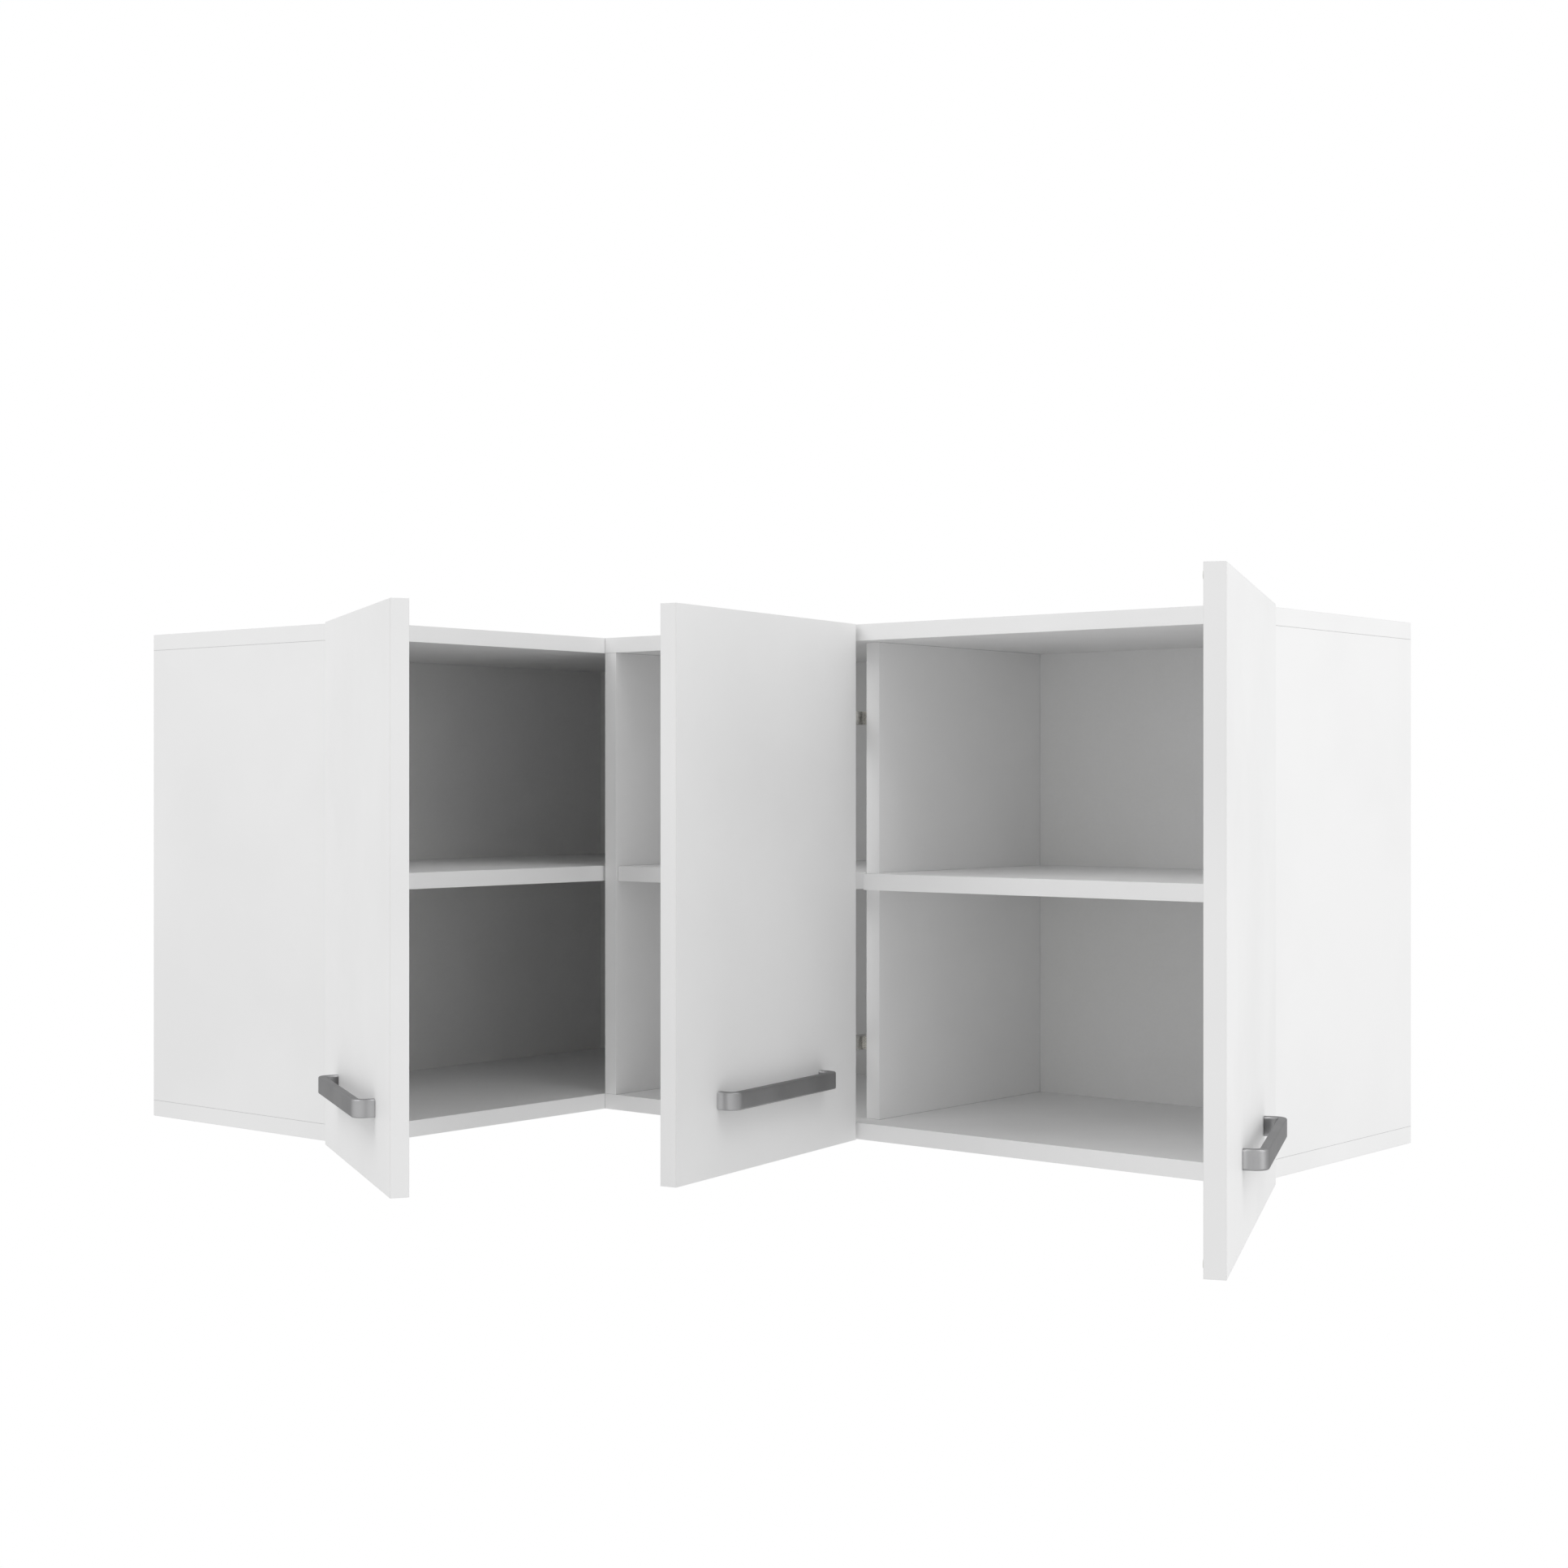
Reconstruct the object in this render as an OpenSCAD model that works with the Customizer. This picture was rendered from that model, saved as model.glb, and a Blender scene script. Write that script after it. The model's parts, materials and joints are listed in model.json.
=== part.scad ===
// L-shaped corner wall cabinet with three overlay doors, drawn with the doors open.
// Frame: the room corner at the cabinet's underside is the origin.
// X runs along the rear wall, the rear wall is the plane Y = 0, the left wall is the plane X = 0.

/* [Carcass] */
// Height of the cabinet
height = 500; // [440:10:720]
// Depth of both legs, from the wall to the front edges
depth = 323; // [300:1:380]
// Front length of the left leg, from the inner corner to the left end
left_run = 340; // [320:5:420]
// Front length of the right leg, from the inner corner to the right end
right_run = 764; // [720:2:900]
// Thickness of the boards
board = 16; // [15:0.5:19]
// Clear width of the middle compartment
middle_clear = 314; // [290:2:330]
// How far the partition's front edge stands behind the front
partition_setback = 29; // [20:1:40]

/* [Backs] */
// Thickness of the hardboard backs
back_t = 3; // [2.5:0.1:4]
// Distance from the wall to the rear face of the backs
back_inset = 10; // [8:0.5:16]
// Depth of the grooves that hold the backs
groove_depth = 6; // [4:0.5:6.5]

/* [Shelves] */
// Height of the shelves' underside over the cabinet's underside
shelf_z = 242; // [200:2:280]
// How far the shelves' front edge stands behind the front
shelf_setback = 3; // [2:1:10]
// Gap at each end of a shelf
shelf_gap = 0.6; // [0.4:0.1:1.5]
// Diameter of the shelf pins
pin_d = 5; // [4:0.5:6]
// Length of a shelf pin in the panel
pin_in = 6.5; // [6:0.5:6.5]
// Length of a shelf pin under the shelf
pin_out = 9; // [8:1:12]

/* [Doors] */
// Thickness of the doors
door_t = 16; // [15:0.5:19]
// Gap between a closed door and the front edges
door_gap = 2; // [2:0.1:3]
// Width of the left door
left_door_w = 319.5; // [300:0.5:319.5]
// Width of the middle door
middle_door_w = 320; // [300:1:322]
// Width of the right door
right_door_w = 417; // [400:1:417]
// How far the middle door's hinge edge stands in from the partition's right face
middle_door_inset = 2.5; // [2.5:0.5:4]

/* [Door angles] */
// Opening angle of the left door
left_open = 119.6; // [0:0.1:119.6]
// Opening angle of the middle door
middle_open = 99.6; // [0:0.1:99.6]
// Opening angle of the right door
right_open = 113.8; // [0:0.1:119]

/* [Hinges] */
// Distance from a door's hinge edge to the turning axis of the end doors
axis_in = 6; // [5.8:0.1:6.2]
// Distance from the front edges to the turning axis of the end doors, into the cabinet
axis_back = 9; // [8.8:0.1:9.2]
// Distance from the middle door's hinge edge to its turning axis
mid_axis_in = 6.1; // [5.9:0.1:6.2]
// Distance from the middle door's inner face to its turning axis, into the door
mid_axis_out = 9.4; // [9.3:0.1:9.8]
// Height of a hinge's centre over the door's lower edge, and under its upper edge
hinge_z = 90; // [80:5:130]
// Diameter of the hinge cup
cup_d = 35; // [35:0.5:35.5]
// Depth of the hinge cup in the door
cup_depth = 11.5; // [11:0.1:12.5]
// Distance from the door's edge to the near side of the cup
cup_edge = 5; // [4:0.5:5]

/* [Handles] */
// Length of a handle
handle_l = 188; // [160:2:220]
// Height of a handle's bar
handle_h = 16; // [12:1:20]
// How far a handle stands out from the door
handle_out = 19; // [18:1:30]
// Thickness of a handle's bar and legs
handle_t = 7.5; // [7:0.5:9]
// Outer corner radius of a handle, seen from above
handle_r = 11; // [8:1:14]
// Height of a handle's underside over the door's lower edge
handle_z = 58.5; // [40:0.5:100]

/* [Fixings] */
// Shank diameter of the carcass screws
screw_d = 7; // [6:0.5:7]
// Thread diameter of the carcass screws
thread_d = 5; // [4:0.5:5]
// Length of the carcass screws
screw_l = 50; // [40:5:60]
// Diameter of the wood dowels
dowel_d = 8; // [6:1:8]
// Length of the wood dowels
dowel_l = 30; // [20:5:35]

/* [Hidden] */
$fn = 48;

WHITE = "#f4f4f2";
BACK = "#eceae6";
GREY = "#8d8e8f";
STEEL = "#b9bcc0";
PLASTIC = "#e9e9e6";
WOOD = "#d8b98a";
CUT = 1;                                  // how far a cutting shape runs past a face
FIT = 0.1;                                // radial room round a screw or pin
GROOVE_FIT = 0.2;                         // room on each side of a back in its groove
SEAT = 0.3;                               // room between parts that meet end to end
HANDLE_SEAT = 0.2;                        // room between a door and its handle

total_x = depth + right_run;              // along the rear wall
total_y = depth + left_run;               // along the left wall
inner_h = height - 2 * board;
post_x = depth;                           // left face of the post panel
partition_x = post_x + board + middle_clear;
end_x = total_x - board;                  // left face of the right end panel
end_y = -total_y + board;                 // inner face of the left end panel
back_face = back_inset + back_t;          // distance from the wall to the backs' front face
tongue = groove_depth - SEAT;             // how far a back reaches into a groove
back_h = inner_h + 2 * tongue;

// Grooves, written as the boxes that are cut out
module groove_left_wall(z, h)
    translate([back_inset - GROOVE_FIT, end_y - groove_depth, z])
        cube([back_t + 2 * GROOVE_FIT, -end_y + groove_depth - back_inset + GROOVE_FIT, h]);

module groove_rear_wall(x0, x1, z, h)
    translate([x0, -back_face - GROOVE_FIT, z])
        cube([x1 - x0, back_t + 2 * GROOVE_FIT, h]);

// Carcass screws: their distances from the front edge, and the line of each joint
screw_from_front = 45;
screw_from_wall = 60;
head_d = screw_d + 3;
head_h = 3;
left_screw_spots = [[screw_from_wall, -total_y + board / 2],
    [depth - screw_from_front, -total_y + board / 2]];
right_screw_spots = [for (x = [post_x + board / 2, partition_x + board / 2, end_x + board / 2],
    y = [-screw_from_wall, -depth + screw_from_front + (x == partition_x + board / 2 ? board : 0)])
    [x, y]];

// A screw standing in a top board, head at z = 0, pointing down
module carcass_screw(room = 0) {
    translate([0, 0, -head_h]) cylinder(d = head_d + 2 * room, h = head_h + (room > 0 ? CUT : 0));
    translate([0, 0, -board]) cylinder(d = screw_d + 2 * room, h = board);
    translate([0, 0, -screw_l - (room > 0 ? 2 : 0)]) cylinder(d = thread_d + 2 * room, h = screw_l);
}

module carcass_screw_set(spots, room = 0)
    for (p = spots) {
        translate([p[0], p[1], height]) carcass_screw(room);
        translate([p[0], p[1], 0]) mirror([0, 0, 1]) carcass_screw(room);
    }

// Dowels that line up the two legs' top and bottom boards at their seam
dowel_spots = [for (y = [-depth * 0.25, -depth * 0.75], z = [board / 2, height - board / 2]) [y, z]];
module dowel_set(room = 0)
    for (p = dowel_spots)
        translate([post_x - dowel_l / 2 - 5 * room, p[0], p[1]])
            rotate([0, 90, 0]) cylinder(d = dowel_d + 2 * room, h = dowel_l + 10 * room);

// Shelves: the outline in plan, then the pins in grooves under each end
left_shelf_box = [[back_face + shelf_gap, end_y + shelf_gap],
    [depth - shelf_setback, -back_face - shelf_gap]];
middle_shelf_box = [[post_x + board + shelf_gap, -depth + shelf_setback],
    [partition_x - shelf_gap, -back_face - shelf_gap]];
right_shelf_box = [[partition_x + board + shelf_gap, -depth + shelf_setback],
    [end_x - shelf_gap, -back_face - shelf_gap]];
pin_inset = 45;                           // from the shelf's front or rear edge to a pin
pin_z = shelf_z + pin_d / 2;

// A pin [x, y, dir]: it stands in a panel's face at x, y and points along dir under the shelf
module shelf_pin(p, room = 0)
    translate([p[0], p[1], pin_z]) rotate([-90 * p[2][1], 90 * p[2][0], 0])
        translate([0, 0, -pin_in - 2 * room])
            cylinder(d = pin_d + 2 * room, h = pin_in + pin_out + 4 * room);
function side_pins(x, dir) =
    [for (y = [-depth + partition_setback + pin_inset, -back_face - pin_inset]) [x, y, [dir, 0]]];
left_pins = concat(
    [for (x = [back_face + pin_inset, depth - pin_inset]) [x, end_y, [0, 1]]],
    side_pins(post_x, -1));
middle_pins = concat(side_pins(post_x + board, 1), side_pins(partition_x, -1));
right_pins = concat(side_pins(partition_x + board, 1), side_pins(end_x, -1));
module pin_set(pins, room = 0) for (p = pins) shelf_pin(p, room);

// The slot under a shelf end that hides a pin, open to the shelf's underside
module pin_slots(pins)
    for (p = pins) {
        shelf_pin(p, FIT);
        translate([p[0], p[1], shelf_z]) rotate([0, 0, p[2][1] == 0 ? 90 - 90 * p[2][0] : 90])
            translate([-CUT, -pin_d / 2 - FIT, -pin_d / 2])
                cube([pin_out + 2 * FIT + CUT, pin_d + 2 * FIT, pin_d]);
    }

module shelf_board(b, pins)
    difference() {
        translate([b[0][0], b[0][1], shelf_z])
            cube([b[1][0] - b[0][0], b[1][1] - b[0][1], board]);
        pin_slots(pins);
    }

// Hangers: a housing in an upper rear corner, a hook through the back, two adjusters
hanger_w = 18;
hanger_h = 62;
hanger_d = 42;
hook_w = 8;
hook_t = 2.5;
hanger_top = height - board - 2;
hook_z = hanger_top - 30;

// Places a hanger: x out from the panel it is screwed to, y from the back's face into the cabinet
module at_hangers() {
    translate([end_x, -back_face, 0]) rotate([0, 0, 180]) children();
    translate([post_x + board, -back_face, 0]) mirror([0, 1, 0]) children();
    translate([back_face, end_y, 0]) mirror([1, -1, 0]) children();
}

hook_room = 0.4;
module hook_shape(room = 0) {
    translate([hanger_w / 2 - hook_w / 2 - room, -back_face + 2 - room, hook_z - room])
        cube([hook_w + 2 * room, back_face + hanger_d - 12 + room, hook_t + 2 * room]);
    translate([hanger_w / 2 - hook_w / 2 - room, -back_face + 2 - room, hook_z - 10 - room])
        cube([hook_w + 2 * room, hook_t + 2 * room, 10 + 2 * room]);
}

module hanger_slot()
    translate([hanger_w / 2 - hook_w / 2 - 2, -back_t - CUT, hook_z - 12])
        cube([hook_w + 4, back_t + 2 * CUT, hook_t + 18]);

// Doors. A door's own frame: x from its hinge edge, y = 0 on its inner face and growing outwards.
left_axis = [axis_in, -(door_gap + axis_back)];
middle_axis = [mid_axis_in, mid_axis_out];
right_axis = left_axis;
middle_edge_x = partition_x + board - middle_door_inset;

module left_frame() translate([depth + door_gap, -total_y, 0]) mirror([1, -1, 0]) children();
module middle_frame() translate([middle_edge_x, -depth - door_gap, 0]) rotate([0, 0, 180]) children();
module right_frame() translate([total_x, -depth - door_gap, 0]) rotate([0, 0, 180]) children();

module swing(axis, angle)
    translate([axis[0], axis[1], 0]) rotate([0, 0, angle]) translate([-axis[0], -axis[1], 0]) children();
module left_swing() left_frame() swing(left_axis, left_open) children();
module middle_swing() middle_frame() swing(middle_axis, middle_open) children();
module right_swing() right_frame() swing(right_axis, right_open) children();

module at_hinges() for (z = [hinge_z, height - hinge_z]) translate([0, 0, z]) children();

cup_x = cup_edge + cup_d / 2;
cup_wall = 1.2;
flange_t = 1.2;
flange_cut = 10;                          // from the cup's centre to the flange's straight side at the edge
cup_screw_dx = 9.5;                       // from the cup's centre to its screws, away from the edge
cup_screw_dz = 24;                        // from the cup's centre to its screws, up and down
wood_screw_d = 3.5;
wood_screw_l = 12;

module cup_screw_spots() at_hinges() for (s = [-1, 1])
    translate([cup_x + cup_screw_dx, 0, s * cup_screw_dz]) children();

// A countersunk wood screw lying along y, its head at y = 0
module wood_screw(room = 0) rotate([-90, 0, 0]) {
    cylinder(d = wood_screw_d + 2 * room, h = wood_screw_l + 5 * room);
    translate([0, 0, -flange_t]) cylinder(d = 2 * wood_screw_d, h = flange_t);
}

leg_x = handle_l / 2 - handle_t / 2;      // from the handle's middle to the middle of a leg
handle_screw_d = 4;
handle_screw_reach = 9;                   // into the leg
module handle_screw_set(w, room = 0)
    for (s = [-1, 1])
        translate([w / 2 + s * leg_x, 0, handle_z + handle_h / 2]) rotate([-90, 0, 0]) {
            translate([0, 0, -1.4]) cylinder(d = 8, h = 1.4);
            cylinder(d = handle_screw_d + 2 * room, h = door_t + handle_screw_reach + 5 * room);
        }

module door_board(w)
    difference() {
        cube([w, door_t, height]);
        at_hinges() translate([cup_x, 0, 0]) rotate([-90, 0, 0])
            translate([0, 0, -CUT]) cylinder(d = cup_d + 2 * FIT, h = cup_depth + FIT + CUT);
        cup_screw_spots() rotate([-90, 0, 0])
            cylinder(d = wood_screw_d + 2 * FIT, h = wood_screw_l + 5 * FIT);
        for (s = [-1, 1])
            translate([w / 2 + s * leg_x, -CUT, handle_z + handle_h / 2]) rotate([-90, 0, 0])
                cylinder(d = handle_screw_d + 2 * FIT, h = door_t + 2 * CUT);
    }

// Hinge cup: a pressed bowl in the door, with a flange that carries its two screws
module hinge_cup()
    difference() {
        union() {
            rotate([-90, 0, 0]) cylinder(d = cup_d, h = cup_depth);
            intersection() {
                rotate([-90, 0, 0]) translate([0, 0, -flange_t]) cylinder(d = cup_d + 4, h = flange_t);
                translate([-flange_cut, -flange_t, -cup_d]) cube([2 * cup_d, flange_t, 2 * cup_d]);
            }
            translate([cup_screw_dx - 6, -flange_t, -cup_screw_dz - 5])
                cube([12, flange_t, 2 * cup_screw_dz + 10]);
        }
        rotate([-90, 0, 0]) translate([0, 0, -flange_t - CUT])
            cylinder(d = cup_d - 2 * cup_wall, h = cup_depth + flange_t + CUT - cup_wall);
        for (s = [-1, 1]) translate([cup_screw_dx, -flange_t - CUT, s * cup_screw_dz]) rotate([-90, 0, 0])
            cylinder(d = 2 * wood_screw_d + 2 * FIT, h = flange_t + 2 * CUT);
    }

// Hinge arm: a folded steel arm over its plate, with a nose that reaches into the cup
arm_h = 13;
nose_x = 16.6;                            // near side of the arm, from the door's edge
arm_top = 31;
arm_end = 64;                             // from the front edges to the arm's rear end
short_nose = [[nose_x, 6], [26, 7]];
long_nose = [[nose_x, 0.5], [9, 1.5], [9, 5.5], [12, 8], [26, 7]];
module hinge_arm(panel_in, nose)
    translate([0, 0, -arm_h / 2]) linear_extrude(arm_h)
        polygon(concat(nose, [[arm_top, 3], [arm_top, -door_gap - arm_end],
            [panel_in + 5, -door_gap - arm_end], [panel_in + 5, -door_gap - 8], [nose_x, -door_gap - 2]]));

// Hinge links of an end door: a curved cheek on each side of the arm's nose, round the turning axis
link_r = [13.9, 19.5];                    // inner and outer radius
link_a = [-42, 75];                       // from and to, counted from the door's inner face
link_t = 1.5;
link_foot_w = 8;
module link_sector(r)
    polygon(concat([[0, 0]], [for (i = [0:24]) let (a = link_a[0] + (link_a[1] - link_a[0]) * i / 24)
        r * [cos(a), sin(a)]]));
module hinge_links()
    for (s = [-1, 1])
        translate([0, 0, s * (arm_h / 2 + SEAT + link_t / 2) - link_t / 2]) linear_extrude(link_t)
            translate([axis_in, -door_gap - axis_back]) union() {
                difference() {
                    link_sector(link_r[1]);
                    circle(link_r[0]);
                }
                translate([link_foot_w, link_r[0]]) square([link_foot_w,
                    door_gap + axis_back + cup_depth - cup_wall - SEAT - link_r[0]]);
            }

// Mounting plate on the panel: a cross plate with two wings for its screws
plate_t = 5 - SEAT / 3;
plate_screw_y = 45;                       // from the front edges to the plate's screws
module hinge_plate(panel_in)
    difference() {
        translate([panel_in, 0, 0]) union() {
            translate([0, -door_gap - arm_end + 2, -arm_h / 2]) cube([plate_t, 30, arm_h]);
            translate([0, -door_gap - plate_screw_y - 6, -24]) cube([2.5, 12, 48]);
        }
        for (s = [-1, 1]) translate([panel_in + 2.5 + CUT, -door_gap - plate_screw_y, s * 16])
            rotate([0, -90, 0]) cylinder(d = wood_screw_d + 2 * FIT, h = 2.5 + 2 * CUT);
    }
module plate_screw_spots(panel_in) at_hinges() for (s = [-1, 1])
    translate([panel_in, -door_gap - plate_screw_y, s * 16]) children();
module plate_screw_set(panel_in, room = 0) plate_screw_spots(panel_in) rotate([0, -90, 0]) {
    cylinder(d = wood_screw_d + 2 * room, h = wood_screw_l - 1 + 5 * room);
    translate([0, 0, -2.5]) cylinder(d = wood_screw_d, h = 2.5);
    translate([0, 0, -4.5]) cylinder(d = 2 * wood_screw_d, h = 2);
}
middle_panel_in = board - middle_door_inset;   // the middle door's edge to the partition's left face
bumper_d = 8;
bumper_t = 1.7;
module bumper_set(w)
    for (z = [board / 2, height - board / 2])
        translate([w - 14, 0, z]) rotate([90, 0, 0]) cylinder(d1 = bumper_d, d2 = bumper_d - 2, h = bumper_t);

// Handle seen from above: a bar on two legs, round at the outer corners
module rounded_bow(l, h, r)
    intersection() {
        translate([-l / 2, 0]) square([l, h]);
        union() {
            translate([-l / 2, 0]) square([l, h - r]);
            translate([-l / 2 + r, 0]) square([l - 2 * r, h]);
            for (s = [-1, 1]) translate([s * (l / 2 - r), h - r]) circle(r);
        }
    }
module handle()
    difference() {
        linear_extrude(handle_h) difference() {
            rounded_bow(handle_l, handle_out, handle_r);
            translate([0, -CUT]) rounded_bow(handle_l - 2 * handle_t, handle_out - handle_t + CUT,
                handle_r - handle_t);
        }
        for (s = [-1, 1]) translate([s * leg_x, -CUT, handle_h / 2]) rotate([-90, 0, 0])
            cylinder(d = handle_screw_d + 2 * FIT, h = handle_screw_reach + CUT + 5 * FIT);
    }
module handle_on(w) translate([w / 2, door_t + HANDLE_SEAT, handle_z]) handle();

module left_top() color(WHITE) difference() {
    translate([0, -total_y, height - board]) cube([depth, total_y, board]);
    groove_left_wall(height - board - CUT, groove_depth + CUT);
    groove_rear_wall(back_inset, depth + CUT, height - board - CUT, groove_depth + CUT);
    carcass_screw_set(left_screw_spots, FIT);
    dowel_set(FIT);
}
module left_bottom() color(WHITE) difference() {
    translate([0, -total_y, 0]) cube([depth, total_y, board]);
    groove_left_wall(board - groove_depth, groove_depth + CUT);
    groove_rear_wall(back_inset, depth + CUT, board - groove_depth, groove_depth + CUT);
    carcass_screw_set(left_screw_spots, FIT);
    dowel_set(FIT);
}
module right_top() color(WHITE) difference() {
    translate([post_x, -depth, height - board]) cube([right_run, depth, board]);
    groove_rear_wall(post_x - CUT, end_x + groove_depth, height - board - CUT,
        groove_depth + CUT);
    carcass_screw_set(right_screw_spots, FIT);
    dowel_set(FIT);
}
module right_bottom() color(WHITE) difference() {
    translate([post_x, -depth, 0]) cube([right_run, depth, board]);
    groove_rear_wall(post_x - CUT, end_x + groove_depth, board - groove_depth, groove_depth + CUT);
    carcass_screw_set(right_screw_spots, FIT);
    dowel_set(FIT);
}
module left_end_panel() color(WHITE) difference() {
    translate([0, -total_y, board]) cube([depth, board, inner_h]);
    groove_left_wall(board - CUT, inner_h + 2 * CUT);
    carcass_screw_set(left_screw_spots, FIT);
    pin_set(left_pins, FIT);
    left_frame() plate_screw_set(board, FIT);
}
module right_end_panel() color(WHITE) difference() {
    translate([end_x, -depth, board]) cube([board, depth, inner_h]);
    groove_rear_wall(end_x - CUT, end_x + groove_depth, board - CUT, inner_h + 2 * CUT);
    carcass_screw_set(right_screw_spots, FIT);
    pin_set(right_pins, FIT);
    right_frame() plate_screw_set(board, FIT);
}
module post_panel() color(WHITE) difference() {
    translate([post_x, -depth, board]) cube([board, depth, inner_h]);
    groove_rear_wall(post_x + board - groove_depth, post_x + board + CUT, board - CUT, inner_h + 2 * CUT);
    groove_rear_wall(post_x - CUT, post_x + groove_depth, board - CUT, inner_h + 2 * CUT);
    carcass_screw_set(right_screw_spots, FIT);
    pin_set(left_pins, FIT);
    pin_set(middle_pins, FIT);
}
module partition_panel() color(WHITE) difference() {
    translate([partition_x, -depth + partition_setback, board])
        cube([board, depth - partition_setback - back_face - SEAT, inner_h]);
    carcass_screw_set(right_screw_spots, FIT);
    pin_set(middle_pins, FIT);
    pin_set(right_pins, FIT);
    middle_frame() plate_screw_set(middle_panel_in, FIT);
}
module left_back() color(BACK) difference() {
    translate([back_inset, end_y - tongue, board - tongue])
        cube([back_t, -end_y + tongue - back_face - SEAT, back_h]);
    at_hangers() hanger_slot();
}
module corner_back() color(BACK)
    translate([back_inset, -back_face, board - tongue])
        cube([post_x + tongue - back_inset, back_t, back_h]);
module right_back() color(BACK) difference() {
    translate([post_x + board - tongue, -back_face, board - tongue])
        cube([end_x - post_x - board + 2 * tongue, back_t, back_h]);
    at_hangers() hanger_slot();
}
module left_shelf() color(WHITE) shelf_board(left_shelf_box, left_pins);
module middle_shelf() color(WHITE) shelf_board(middle_shelf_box, middle_pins);
module right_shelf() color(WHITE) shelf_board(right_shelf_box, right_pins);
module left_shelf_pins() color(STEEL) pin_set(left_pins);
module middle_shelf_pins() color(STEEL) pin_set(middle_pins);
module right_shelf_pins() color(STEEL) pin_set(right_pins);
module left_carcass_screws() color(STEEL) carcass_screw_set(left_screw_spots);
module right_carcass_screws() color(STEEL) carcass_screw_set(right_screw_spots);
module joining_dowels() color(WOOD) dowel_set();

adjuster_d = 5;
module hanger_housings() color(PLASTIC) at_hangers() difference() {
    translate([0, SEAT, hanger_top - hanger_h]) cube([hanger_w, hanger_d, hanger_h]);
    hook_shape(hook_room);
    for (dz = [14, -14]) translate([hanger_w / 2, hanger_d - 10, hook_z + dz]) rotate([-90, 0, 0])
        cylinder(d = adjuster_d + 2 * FIT, h = 20);
}
module hanger_hooks() color(STEEL) at_hangers() hook_shape();
module hanger_adjusters() color(STEEL) at_hangers()
    for (dz = [14, -14]) translate([hanger_w / 2, hanger_d - 10, hook_z + dz]) rotate([-90, 0, 0])
        cylinder(d = adjuster_d, h = 10);

module left_door() color(WHITE) left_swing() door_board(left_door_w);
module middle_door() color(WHITE) middle_swing() door_board(middle_door_w);
module right_door() color(WHITE) right_swing() door_board(right_door_w);
module left_handle() color(GREY) left_swing() handle_on(left_door_w);
module middle_handle() color(GREY) middle_swing() handle_on(middle_door_w);
module right_handle() color(GREY) right_swing() handle_on(right_door_w);
module left_handle_screws() color(STEEL) left_swing() handle_screw_set(left_door_w);
module middle_handle_screws() color(STEEL) middle_swing() handle_screw_set(middle_door_w);
module right_handle_screws() color(STEEL) right_swing() handle_screw_set(right_door_w);
module hinge_cup_set() at_hinges() translate([cup_x, 0, 0]) hinge_cup();
module left_hinge_cups() color(STEEL) left_swing() hinge_cup_set();
module middle_hinge_cups() color(STEEL) middle_swing() hinge_cup_set();
module right_hinge_cups() color(STEEL) right_swing() hinge_cup_set();
module left_hinge_arms() color(STEEL) left_frame() at_hinges() hinge_arm(board, long_nose);
module left_hinge_links() color(STEEL) left_swing() at_hinges() hinge_links();
module middle_hinge_arms() color(STEEL) middle_frame() at_hinges() hinge_arm(middle_panel_in, short_nose);
module right_hinge_arms() color(STEEL) right_frame() at_hinges() hinge_arm(board, long_nose);
module right_hinge_links() color(STEEL) right_swing() at_hinges() hinge_links();
module left_hinge_plates() color(STEEL) left_frame() at_hinges() hinge_plate(board);
module middle_hinge_plates() color(STEEL) middle_frame() at_hinges() hinge_plate(middle_panel_in);
module right_hinge_plates() color(STEEL) right_frame() at_hinges() hinge_plate(board);
module left_plate_screws() color(STEEL) left_frame() plate_screw_set(board);
module middle_plate_screws() color(STEEL) middle_frame() plate_screw_set(middle_panel_in);
module right_plate_screws() color(STEEL) right_frame() plate_screw_set(board);
module left_cup_screws() color(STEEL) left_swing() cup_screw_spots() wood_screw();
module middle_cup_screws() color(STEEL) middle_swing() cup_screw_spots() wood_screw();
module right_cup_screws() color(STEEL) right_swing() cup_screw_spots() wood_screw();
module left_bumpers() color(PLASTIC) left_swing() bumper_set(left_door_w);
module middle_bumpers() color(PLASTIC) middle_swing() bumper_set(middle_door_w);
module right_bumpers() color(PLASTIC) right_swing() bumper_set(right_door_w);

left_top();
left_bottom();
right_top();
right_bottom();
left_end_panel();
right_end_panel();
post_panel();
partition_panel();
left_back();
corner_back();
right_back();
left_shelf();
middle_shelf();
right_shelf();
left_shelf_pins();
middle_shelf_pins();
right_shelf_pins();
left_carcass_screws();
right_carcass_screws();
joining_dowels();
hanger_housings();
hanger_hooks();
hanger_adjusters();
left_door();
middle_door();
right_door();
left_handle();
middle_handle();
right_handle();
left_handle_screws();
middle_handle_screws();
right_handle_screws();
left_hinge_cups();
middle_hinge_cups();
right_hinge_cups();
left_hinge_arms();
middle_hinge_arms();
right_hinge_arms();
left_hinge_links();
right_hinge_links();
left_hinge_plates();
middle_hinge_plates();
right_hinge_plates();
left_plate_screws();
middle_plate_screws();
right_plate_screws();
left_cup_screws();
middle_cup_screws();
right_cup_screws();
left_bumpers();
middle_bumpers();
right_bumpers();
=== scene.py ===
# %% [markdown]
# # A corner wall cabinet with white boards
#
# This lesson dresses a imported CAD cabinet: it gives each board, back, hinge and screw a finish
# made of shader nodes, and it swaps the three plain CAD handles for softly rounded ones.
# The doors stand open, as in the photo the cabinet was drawn from.

import json
import math

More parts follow.
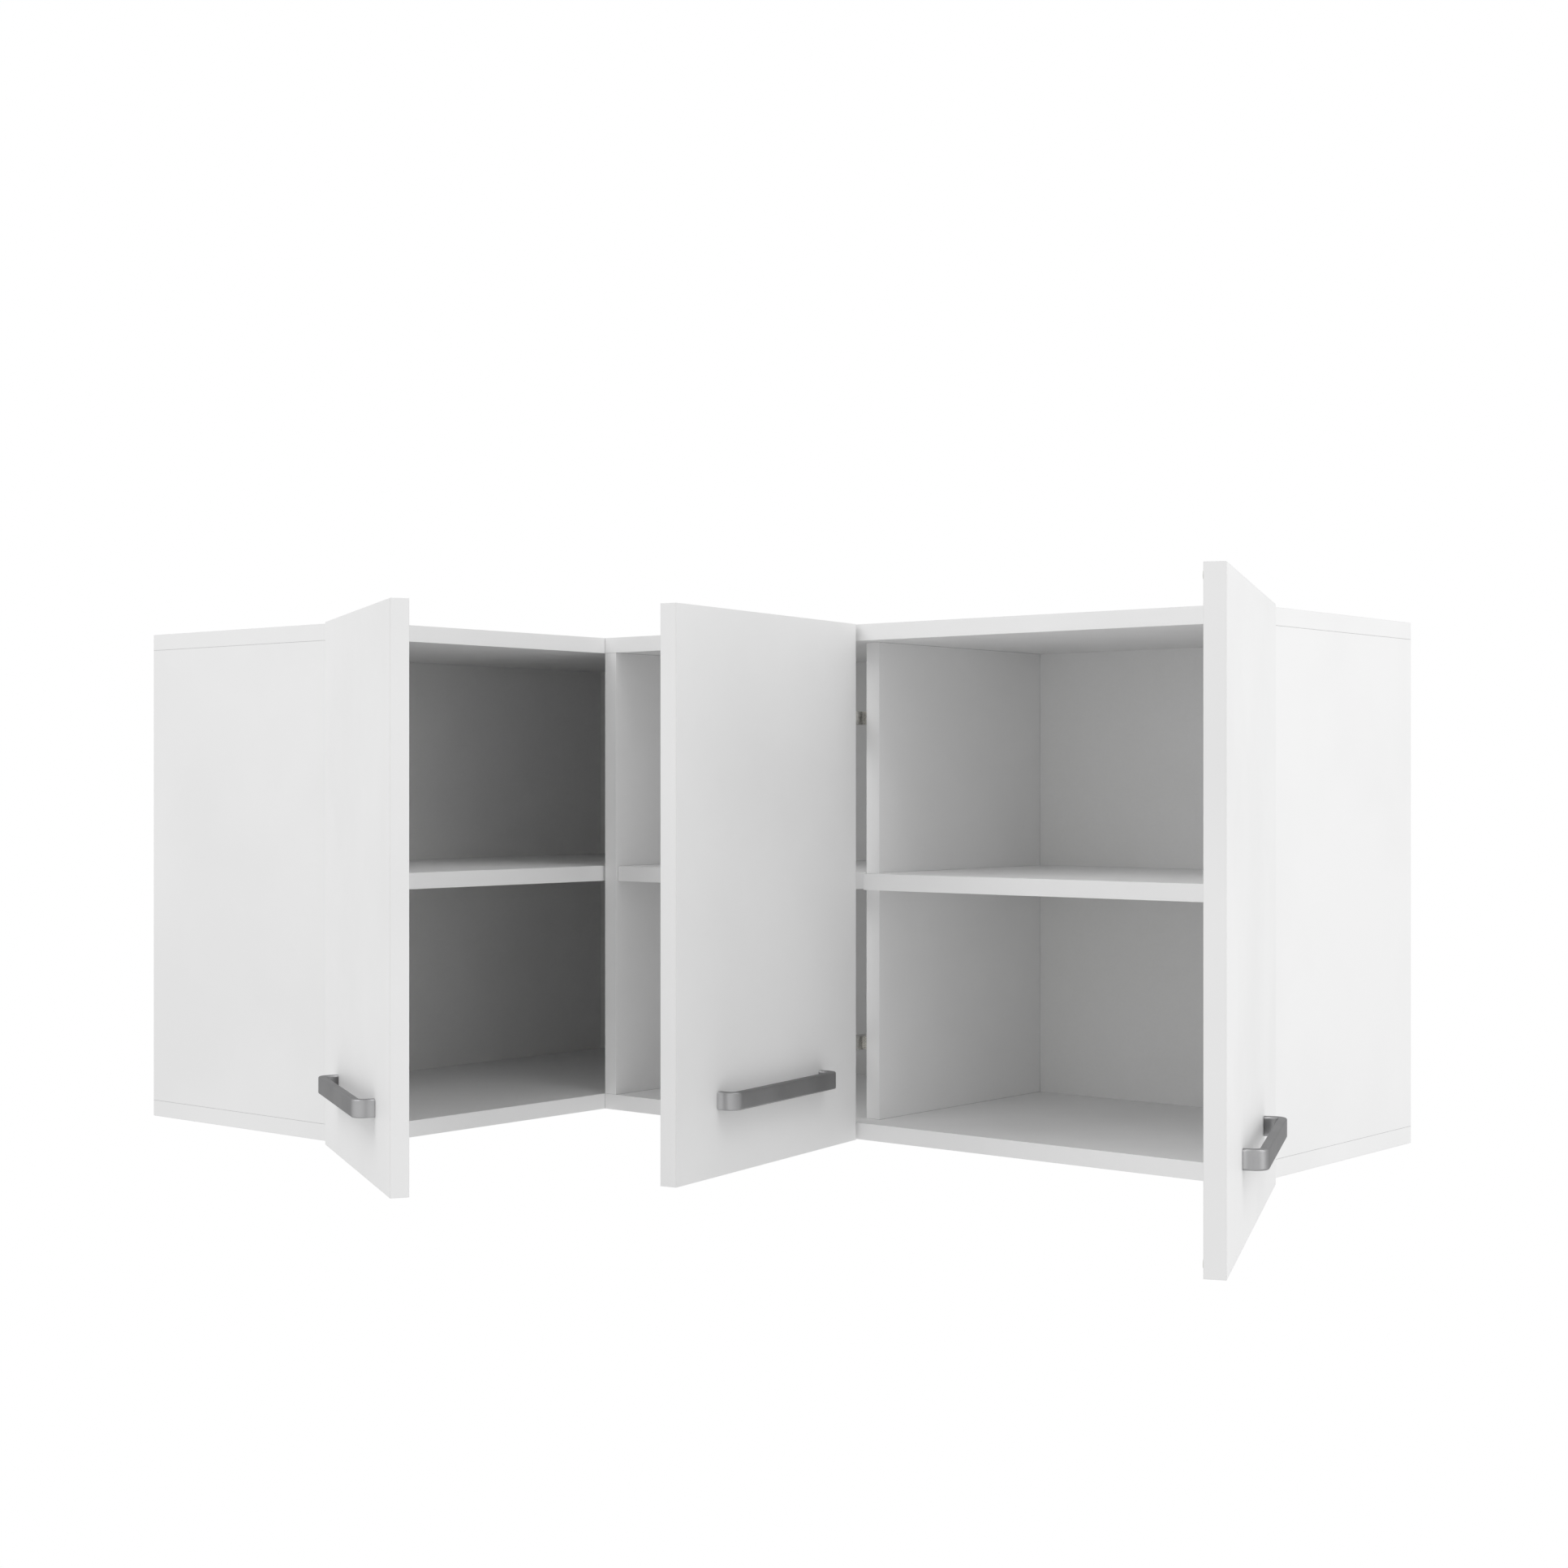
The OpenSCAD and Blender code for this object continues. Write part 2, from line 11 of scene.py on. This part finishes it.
import bpy
import numpy as np
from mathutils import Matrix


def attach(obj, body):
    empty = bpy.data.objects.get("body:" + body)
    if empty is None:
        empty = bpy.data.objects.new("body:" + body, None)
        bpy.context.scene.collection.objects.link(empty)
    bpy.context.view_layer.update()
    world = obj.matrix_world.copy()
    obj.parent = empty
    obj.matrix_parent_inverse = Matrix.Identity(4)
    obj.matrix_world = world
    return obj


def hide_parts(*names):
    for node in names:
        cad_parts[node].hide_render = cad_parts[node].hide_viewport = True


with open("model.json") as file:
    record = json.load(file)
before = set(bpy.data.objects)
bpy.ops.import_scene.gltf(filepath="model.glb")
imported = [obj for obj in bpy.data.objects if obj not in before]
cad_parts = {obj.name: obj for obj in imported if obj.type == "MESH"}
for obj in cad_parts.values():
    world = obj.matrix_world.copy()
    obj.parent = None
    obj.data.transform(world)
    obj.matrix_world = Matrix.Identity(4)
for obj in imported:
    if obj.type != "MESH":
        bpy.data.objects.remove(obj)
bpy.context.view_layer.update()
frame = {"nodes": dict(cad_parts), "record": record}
nodes = frame["nodes"]


# %% [markdown]
# ## The camera
#
# The camera looks level at the inner corner of the cabinet. Its place comes from the straight
# edges of the photo, with a 55 mm lens on a 36 mm sensor.

# %%
CAMERA_PLACE = (2.106, -2.152, 0.345)
CAMERA_YAW = 40.0
LENS = 55.0
SENSOR = 36.0

camera_data = bpy.data.cameras.new("camera")
camera_data.lens = LENS
camera_data.sensor_width = SENSOR
camera = bpy.data.objects.new("camera", camera_data)
camera.location = CAMERA_PLACE
camera.rotation_euler = (math.radians(90), 0, math.radians(CAMERA_YAW))
bpy.context.scene.collection.objects.link(camera)
bpy.context.scene.camera = camera
print("camera at", CAMERA_PLACE, "lens", LENS, "mm")

# %% [markdown]
# ## Small helpers for the shader graphs
#
# Colours are written as sRGB hex and turned into the linear values that Blender works with.
# `add` makes one node, sets its plain inputs and joins the sockets that are handed to it.

# %%
def to_linear(hex_colour):
    """sRGB hex, such as "f4f4f2", to a linear RGBA tuple."""
    parts = [int(hex_colour[i:i + 2], 16) / 255 for i in (0, 2, 4)]
    linear = [v / 12.92 if v <= 0.04045 else ((v + 0.055) / 1.055) ** 2.4 for v in parts]
    return (*linear, 1.0)


def add(tree, kind, inputs=None, **settings):
    """Adds a node. An input is a plain value, or a socket of another node to join."""
    node = tree.nodes.new(kind)
    for name, value in settings.items():
        setattr(node, name, value)
    for name, value in (inputs or {}).items():
        socket = node.inputs[name]
        if isinstance(value, bpy.types.NodeSocket):
            tree.links.new(value, socket)
        else:
            socket.default_value = value
    return node


def new_material(name):
    """An empty material with a Principled shader, its tree and its object coordinates."""
    material = bpy.data.materials.new(name)
    material.use_nodes = True
    tree = material.node_tree
    tree.nodes.clear()
    shader = add(tree, "ShaderNodeBsdfPrincipled")
    add(tree, "ShaderNodeOutputMaterial", {"Surface": shader.outputs["BSDF"]})
    place = add(tree, "ShaderNodeTexCoord").outputs["Object"]
    return material, tree, shader, place


def noise(tree, place, scale, detail=3.0, roughness=0.5):
    """Noise between 0 and 1 at a place, with its size in repeats per metre."""
    return add(tree, "ShaderNodeTexNoise", {"Vector": place, "Scale": scale, "Detail": detail,
                                            "Roughness": roughness}).outputs["Fac"]


def ramp(tree, value, low=0.0, high=1.0):
    """Maps noise, which mostly lies between 0.35 and 0.65, onto the range low to high."""
    return add(tree, "ShaderNodeMapRange", {"Value": value, "From Min": 0.35, "From Max": 0.65,
                                            "To Min": low, "To Max": high}).outputs["Result"]


def math_node(tree, operation, a, b=0.0, c=0.0):
    """One operation on one, two or three values."""
    return add(tree, "ShaderNodeMath", {0: a, 1: b, 2: c}, operation=operation).outputs["Value"]


def blended(tree, first, second, share):
    """The first value by its share and the second by the rest."""
    rest = math_node(tree, "MULTIPLY", second, 1.0 - share)
    return math_node(tree, "MULTIPLY_ADD", first, share, rest)


def mix_colour(tree, factor, a, b):
    """Mixes two colours by a factor. The mix node keeps its colour sockets at 6 and 7."""
    return add(tree, "ShaderNodeMix", {0: factor, 6: a, 7: b}, data_type="RGBA").outputs[2]


def drifting_colour(tree, value, light, dark):
    """A colour that drifts between two sRGB hex values with a noise value."""
    return mix_colour(tree, ramp(tree, value), to_linear(light), to_linear(dark))


def bump(tree, height, distance, strength=1.0, normal=None):
    """A bump with a real depth in metres."""
    inputs = {"Height": height, "Distance": distance, "Strength": strength}
    if normal is not None:
        inputs["Normal"] = normal
    return add(tree, "ShaderNodeBump", inputs).outputs["Normal"]


def rounded_edges(tree, radius):
    """A normal that makes sharp edges look rounded."""
    return add(tree, "ShaderNodeBevel", {"Radius": radius}, samples=4).outputs["Normal"]


def finish(tree, shader, colour, roughness, normal):
    """Joins the three sockets that every finish here sets."""
    sockets = {"Base Color": colour, "Roughness": roughness, "Normal": normal}
    for name, value in sockets.items():
        tree.links.new(value, shader.inputs[name])


print("helpers ready")

# %% [markdown]
# ## White melamine boards
#
# A melamine board is nearly flat in colour. What gives it away is a fine pearl texture, a
# faint change of gloss and an edge that is rounded by under a millimetre. Where two boards
# meet, the joint shows as a hairline. The hairlines lie at fixed places of the carcass, so
# they come from the object's coordinates. Doors get the same board without hairlines.
#
# Here and below, lengths are in metres and the size of a noise is in repeats per metre.

# %%
BOARD_WHITE = "f3f3f3"
BOARD_SHADE = "efefef"
SEAM_GREY = "c2c2c2"
JOINT_GREY = "848484"
EDGE_ROUND = 0.0006
SEAM_HALF = 0.0003
BOARD_T = 0.016
HEIGHT = 0.5
LEG_DEPTH = 0.323  # where the two legs' tops and bottoms meet
BOARD_CLOUD = 5.0
BOARD_GLOSS_CLOUD = 60.0
BOARD_ROUGHNESS = (0.44, 0.52)
BOARD_SPECULAR = 0.35
PEARL = 1400.0
PEARL_DEPTH = 0.00003


def line_mask(tree, value, at, half):
    """1 within half a width of a place, 0 elsewhere."""
    off = math_node(tree, "ABSOLUTE", math_node(tree, "SUBTRACT", value, at))
    return math_node(tree, "LESS_THAN", off, half)


def board_material(name, seams_z=(), seams_x=(), seam_grey=SEAM_GREY):
    """White melamine with a pearl texture, and hairlines at the given heights and X places."""
    material, tree, shader, place = new_material(name)
    colour = drifting_colour(tree, noise(tree, place, BOARD_CLOUD, 4.0), BOARD_WHITE, BOARD_SHADE)
    axes = add(tree, "ShaderNodeSeparateXYZ", {"Vector": place}).outputs
    mask = None
    for value, spots in ((axes["Z"], seams_z), (axes["X"], seams_x)):
        for spot in spots:
            line = line_mask(tree, value, spot, SEAM_HALF)
            mask = line if mask is None else math_node(tree, "MAXIMUM", mask, line)
    if mask is not None:
        colour = mix_colour(tree, mask, colour, to_linear(seam_grey))
    gloss = ramp(tree, noise(tree, place, BOARD_GLOSS_CLOUD), *BOARD_ROUGHNESS)
    pearl = noise(tree, place, PEARL, 2.0, 0.6)
    skin = bump(tree, pearl, PEARL_DEPTH, 0.6, rounded_edges(tree, EDGE_ROUND))
    finish(tree, shader, colour, gloss, skin)
    shader.inputs["Specular IOR Level"].default_value = BOARD_SPECULAR
    return material


carcass_board = board_material("carcass_board", (BOARD_T, HEIGHT - BOARD_T))
cap_board = board_material("cap_board", (), (LEG_DEPTH,), JOINT_GREY)
door_board = board_material("door_board")
print("boards:", carcass_board.name, cap_board.name, door_board.name)

# %% [markdown]
# ## Hardboard backs
#
# The backs are thin hardboard with a white lacquer on the inside. The lacquer is a little
# warmer than melamine and shows the weave of the fibres very faintly.

# %%
BACK_WHITE = "efefef"
BACK_SHADE = "e9e9e8"
BACK_CLOUD = 3.0
BACK_ROUGHNESS = (0.5, 0.62)
BACK_SPECULAR = 0.3
FIBRES = 420.0
FIBRE_DEPTH = 0.00004
FIBRE_SHARE = 0.35


def back_material():
    """White lacquer over pressed fibres."""
    material, tree, shader, place = new_material("back_lacquer")
    fibres = noise(tree, place, FIBRES, 5.0, 0.7)
    blend = blended(tree, fibres, noise(tree, place, BACK_CLOUD), FIBRE_SHARE)
    colour = drifting_colour(tree, blend, BACK_WHITE, BACK_SHADE)
    gloss = ramp(tree, fibres, *BACK_ROUGHNESS)
    finish(tree, shader, colour, gloss, bump(tree, fibres, FIBRE_DEPTH, 0.5))
    shader.inputs["Specular IOR Level"].default_value = BACK_SPECULAR
    return material


hardboard_back = back_material()
print("back:", hardboard_back.name)

# %% [markdown]
# ## Metals
#
# The handles are satin grey castings: a metal with a fine, even grain that stays grey when it
# is seen at a flat angle. The hinge parts and screws are nickel-plated steel, brighter and a
# little blotchy from handling.

# %%
HANDLE_GREY = "afafb0"
HANDLE_DARK = "a3a3a4"
HANDLE_GRAZE = "b4b4b4"
NICKEL = "c9c8c4"
NICKEL_DARK = "aeadaa"
NICKEL_GRAZE = "ffffff"
GRAIN_DEPTH = 0.00001


def metal_material(name, colours, roughness, grain_size, blotch_size, edge):
    """A metal with a fine grain. Its colours are light, dark and seen at a flat angle."""
    material, tree, shader, place = new_material(name)
    light, dark, graze = colours
    grain = noise(tree, place, grain_size, 2.0, 0.6)
    colour = drifting_colour(tree, noise(tree, place, blotch_size, 4.0), light, dark)
    skin = bump(tree, grain, GRAIN_DEPTH, 0.5, rounded_edges(tree, edge))
    finish(tree, shader, colour, ramp(tree, grain, *roughness), skin)
    shader.inputs["Metallic"].default_value = 1.0
    shader.inputs["Specular Tint"].default_value = to_linear(graze)
    return material


handle_metal = metal_material("satin_grey_casting", (HANDLE_GREY, HANDLE_DARK, HANDLE_GRAZE),
                              roughness=(0.37, 0.45), grain_size=2600.0, blotch_size=18.0,
                              edge=0.0004)
nickel_steel = metal_material("nickel_plate", (NICKEL, NICKEL_DARK, NICKEL_GRAZE),
                              roughness=(0.2, 0.32), grain_size=900.0, blotch_size=90.0,
                              edge=0.0003)
print("metals:", handle_metal.name, nickel_steel.name)

# %% [markdown]
# ## Plastic and beech
#
# The hanger housings and the door buffers are moulded plastic. The dowels are turned beech:
# stretched noise makes the pores run along them.

# %%
PLASTIC_WHITE = "e9e9e5"
PLASTIC_SHADE = "dfdfda"
PLASTIC_CLOUD = 40.0
PLASTIC_ROUGHNESS = (0.38, 0.5)
MOULD_SKIN = 2200.0
MOULD_DEPTH = 0.00002
BEECH_LIGHT = "dcbd92"
BEECH_DARK = "c39c6c"
BEECH_ROUGHNESS = (0.55, 0.7)
BEECH_STRETCH = (0.08, 1.0, 1.0)
PORES = 1500.0
PORE_DEPTH = 0.00006
RINGS = 220.0


def plastic_material():
    """Moulded white plastic with an eroded mould skin."""
    material, tree, shader, place = new_material("moulded_white")
    skin = noise(tree, place, MOULD_SKIN, 2.0, 0.7)
    colour = drifting_colour(tree, noise(tree, place, PLASTIC_CLOUD), PLASTIC_WHITE, PLASTIC_SHADE)
    gloss = ramp(tree, skin, *PLASTIC_ROUGHNESS)
    finish(tree, shader, colour, gloss, bump(tree, skin, MOULD_DEPTH, 0.5))
    return material


def beech_material():
    """Beech with pores along X, the way the dowels lie."""
    material, tree, shader, place = new_material("beech_wood")
    stretch = {"Vector": place, "Scale": BEECH_STRETCH}
    along = add(tree, "ShaderNodeMapping", stretch).outputs["Vector"]
    pores = noise(tree, along, PORES, 4.0, 0.6)
    blend = blended(tree, pores, noise(tree, along, RINGS, 2.0), 0.5)
    colour = drifting_colour(tree, blend, BEECH_LIGHT, BEECH_DARK)
    gloss = ramp(tree, pores, *BEECH_ROUGHNESS)
    finish(tree, shader, colour, gloss, bump(tree, pores, PORE_DEPTH, 0.6))
    return material


white_plastic = plastic_material()
beech = beech_material()
print("others:", white_plastic.name, beech.name)

# %% [markdown]
# ## Which finish goes on which piece
#
# The record names a material slot for every CAD piece. The boards are split once more: the
# right leg's top and bottom show the joint between the two legs, the upright panels show the
# joints above and below them, and the other boards show none.

# %%
SLOT_FINISH = {"hardboard_back": hardboard_back, "handle_metal": handle_metal,
               "zinc_steel": nickel_steel, "white_plastic": white_plastic, "beech": beech}
slots = {entry["node"]: entry["material_slot"] for entry in frame["record"]["subparts"]}


def board_for(name):
    """The board finish for one piece."""
    if name.endswith("_panel"):
        return carcass_board
    if name in ("right_top", "right_bottom"):
        return cap_board
    return door_board


for name, piece in nodes.items():
    piece.data.materials.clear()
    piece.data.materials.append(SLOT_FINISH.get(slots[name]) or board_for(name))
print("finishes given to", len(nodes), "pieces")

# %% [markdown]
# ## The handles
#
# Each handle is one bar bent into a bow: a cross-section with rounded corners is swept along
# a path that leaves the door, turns, runs across and turns back. The whole surface is one
# grid of points, path by section, and the two ends are closed against the door. The sizes
# repeat the CAD's, less a hair (`INSET`), so the handle stays inside the CAD part's box.

# %%
MM = 0.001
HANDLE_L = 188 * MM
HANDLE_OUT = 19 * MM
HANDLE_T = 7.5 * MM
HANDLE_H = 16 * MM
HANDLE_R = 11 * MM
HANDLE_Z = 58.5 * MM
HANDLE_SEAT = 0.2 * MM
SECTION_ROUND = 1.5 * MM
DOOR_T = 16 * MM
INSET = 0.02 * MM
SUPPORT = 0.15 * MM  # from a corner's end to the extra point that keeps a flat side flat


def rounded_section(width, height, radius, steps=7):
    """The outline of a rectangle with round corners, as points (across, up) round its middle.

    An extra point close to each end of a corner keeps the shading of the flat sides flat.
    """
    corners = [(1, 1, 0), (-1, 1, 90), (-1, -1, 180), (1, -1, 270)]
    points = []
    for sx, sy, start in corners:
        angles = np.radians(start + np.linspace(0, 90, steps))
        round_way = np.stack([np.cos(angles), np.sin(angles)], 1)
        arc = np.array([sx * (width / 2 - radius), sy * (height / 2 - radius)]) + radius * round_way
        before = arc[0] - SUPPORT * np.array([-round_way[0, 1], round_way[0, 0]])
        after = arc[-1] + SUPPORT * np.array([-round_way[-1, 1], round_way[-1, 0]])
        points.append(np.concatenate([[before], arc, [after]]))
    return np.concatenate(points)


def bow_path(steps=14):
    """Middle line of the bow as (x, y), with the outward direction at each point."""
    radius = HANDLE_R - HANDLE_T / 2
    reach = HANDLE_L / 2 - HANDLE_R
    top = HANDLE_OUT - HANDLE_R
    angles = np.radians(np.linspace(180, 90, steps))
    turn = np.stack([np.cos(angles), np.sin(angles)], 1)
    side, across = turn[0], turn[-1]
    half = [((-reach - radius, 0.0), side), ((-reach - radius, top - SUPPORT), side)]
    half += [(np.array([-reach, top]) + radius * way, way) for way in turn]
    half += [((-reach + SUPPORT, top + radius), across)]
    points = np.array([point for point, way in half])
    normals = np.array([way for point, way in half])
    flip = np.array([-1.0, 1.0])
    points, normals = (np.concatenate([rows, rows[::-1] * flip]) for rows in (points, normals))
    return points, normals


def grid_faces(rows, columns):
    """Quads of a grid that closes on itself along its columns."""
    r, c = np.meshgrid(np.arange(rows - 1), np.arange(columns), indexing="ij")
    a = r * columns + c
    b = r * columns + (c + 1) % columns
    return np.stack([a, b, b + columns, a + columns], -1).reshape(-1, 4)


def handle_points():
    """Points of a handle in its door's frame, with the handle's middle at x = 0."""
    section = rounded_section(HANDLE_T - 2 * INSET, HANDLE_H - 2 * INSET, SECTION_ROUND)
    path, normals = bow_path()
    flat = path[:, None, :] + normals[:, None, :] * section[None, :, :1]
    up = np.broadcast_to(section[None, :, 1:] + HANDLE_Z + HANDLE_H / 2, flat.shape[:2] + (1,))
    return np.concatenate([flat, up], -1), len(path), len(section)


def door_to_world(points, width, axis, angle, edge, mirrored):
    """Turns points of a shut door's frame by its opening angle and puts them in the row frame."""
    x = points[..., 0] + width / 2 - axis[0]
    y = points[..., 1] + DOOR_T + HANDLE_SEAT - axis[1]
    turn = math.radians(angle)
    qx = axis[0] + x * math.cos(turn) - y * math.sin(turn)
    qy = axis[1] + x * math.sin(turn) + y * math.cos(turn)
    if mirrored:
        return np.stack([edge[0] + qy, edge[1] + qx, points[..., 2]], -1)
    return np.stack([edge[0] - qx, edge[1] - qy, points[..., 2]], -1)


# A door's width, its turning axis from its hinge edge and inner face, its opening angle in
# degrees, and its hinge edge in the row frame when shut. The left leg's frame is mirrored.
DOORS = {
    "left": {"width": 0.3195, "axis": (0.006, -0.011), "angle": 119.6,
             "edge": (0.325, -0.663), "mirrored": True},
    "middle": {"width": 0.320, "axis": (0.0061, 0.0094), "angle": 99.6,
               "edge": (0.6665, -0.325), "mirrored": False},
    "right": {"width": 0.417, "axis": (0.006, -0.011), "angle": 113.8,
              "edge": (1.087, -0.325), "mirrored": False},
}


def make_handle(side):
    """One rounded handle on its door."""
    local, rows, columns = handle_points()
    world = door_to_world(local, **DOORS[side]).reshape(-1, 3)
    quads = grid_faces(rows, columns)
    caps = [np.arange(columns), np.arange((rows - 1) * columns, rows * columns)[::-1]]
    faces = quads.tolist() + [cap.tolist() for cap in caps]
    if DOORS[side]["mirrored"]:
        faces = [face[::-1] for face in faces]
    mesh = bpy.data.meshes.new(side + "_bow_handle")
    mesh.from_pydata(world.tolist(), [], faces)
    smooth = np.ones(len(mesh.polygons), dtype=bool)
    smooth[-len(caps):] = False
    mesh.polygons.foreach_set("use_smooth", smooth)
    mesh.materials.append(handle_metal)
    piece = bpy.data.objects.new(side + "_bow_handle", mesh)
    bpy.context.scene.collection.objects.link(piece)
    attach(piece, side + "_door")
    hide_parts(side + "_handle")
    return piece


handles = [make_handle(side) for side in DOORS]
print("handles:", [(piece.name, len(piece.data.polygons)) for piece in handles])

# %% [markdown]
# ## Light
#
# The photo is lit evenly from all round and a little stronger from above, and the inside of
# the cabinet falls off to a mid grey. Each lamp's share was found by rendering it alone and
# fitting the sum to the photo's greys. The camera sees a pure white background. The sky that
# mirrors in the metal is brighter in front of the cabinet than behind it, as in a studio.

# %%
SKY_WHITE = "ffffff"
SKY_STRENGTH = 0.745
FRONT_GAIN = 0.45


def sky():
    """White for the camera, softer for the light that it gives, and uneven for mirror rays."""
    world = bpy.data.worlds.new("sky")
    bpy.context.scene.world = world
    world.use_nodes = True
    tree = world.node_tree
    tree.nodes.clear()
    ray = add(tree, "ShaderNodeLightPath").outputs
    seen = math_node(tree, "MAXIMUM", ray["Is Camera Ray"], ray["Is Transmission Ray"])
    direction = add(tree, "ShaderNodeTexCoord").outputs["Generated"]
    rearward = add(tree, "ShaderNodeSeparateXYZ", {"Vector": direction}).outputs["Y"]
    front = math_node(tree, "MULTIPLY", math_node(tree, "MINIMUM", rearward, 0.0), -FRONT_GAIN)
    uneven = math_node(tree, "MULTIPLY_ADD", front, ray["Is Glossy Ray"], 1.0)
    soft = math_node(tree, "MULTIPLY", uneven, SKY_STRENGTH)
    strength = add(tree, "ShaderNodeMix", {"Factor": seen, "A": soft, "B": 1.0}).outputs["Result"]
    white = to_linear(SKY_WHITE)
    light = add(tree, "ShaderNodeBackground", {"Color": white, "Strength": strength})
    add(tree, "ShaderNodeOutputWorld", {"Surface": light.outputs["Background"]})
    return world


def lamp(name, place, target, size, watts):
    """An area lamp that looks at a point."""
    data = bpy.data.lights.new(name, "AREA")
    data.shape = "SQUARE"
    data.size = size
    data.energy = watts
    piece = bpy.data.objects.new(name, data)
    piece.location = place
    away = np.array(target) - np.array(place)
    yaw = math.atan2(away[1], away[0]) - math.pi / 2
    tilt = math.atan2(away[2], math.hypot(away[0], away[1])) + math.pi / 2
    piece.rotation_euler = (tilt, 0, yaw)
    bpy.context.scene.collection.objects.link(piece)
    return piece


MIDDLE = (0.6, -0.4, 0.25)
LAMP_SIZE = 1.6
# Where each lamp stands, and its power in watts
LAMPS = {
    "right_lamp": ((3.59, -0.4, 0.51), 11.0),
    "right_high_lamp": ((2.72, -0.4, 2.37), 14.0),
    "left_high_lamp": ((-0.46, -2.24, 2.37), 19.0),
}
bpy.context.scene.view_settings.view_transform = "Standard"
sky()
lamps = [lamp(name, place, MIDDLE, LAMP_SIZE, watts) for name, (place, watts) in LAMPS.items()]
print("lamps:", [piece.name for piece in lamps])
